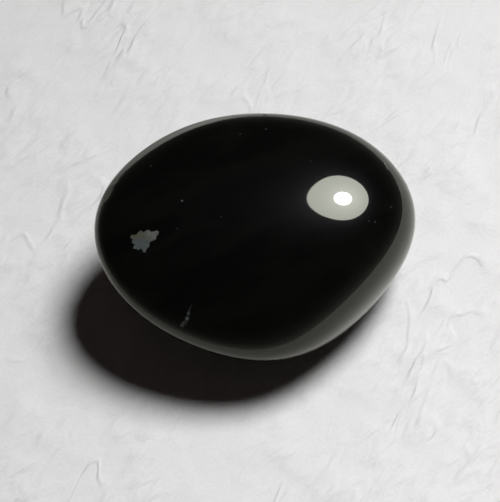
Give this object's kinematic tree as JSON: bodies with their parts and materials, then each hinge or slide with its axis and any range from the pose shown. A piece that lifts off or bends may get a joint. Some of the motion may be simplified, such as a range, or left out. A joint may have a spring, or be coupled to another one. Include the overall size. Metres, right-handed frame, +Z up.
{
  "type": "tumbled obsidian pebble",
  "caption": "Polished black pebble of snowflake obsidian with soft worn faces, one grey crystal spot and a small flat spot to rest on.",
  "frame": {"origin": "on the surface that the pebble rests on, under the middle of its outline", "axes": "+X along the pebble's long side, +Y across it towards its high back edge, +Z up"},
  "size_m": [0.032, 0.0252, 0.0152],
  "materials": {
    "obsidian": "black volcanic glass, tumbled to a wet-looking polish, with one grey-green crystal spot and a few pale pinpoint marks"
  },
  "bodies": {
    "root": {"stone": "obsidian"}
  },
  "joints": []
}
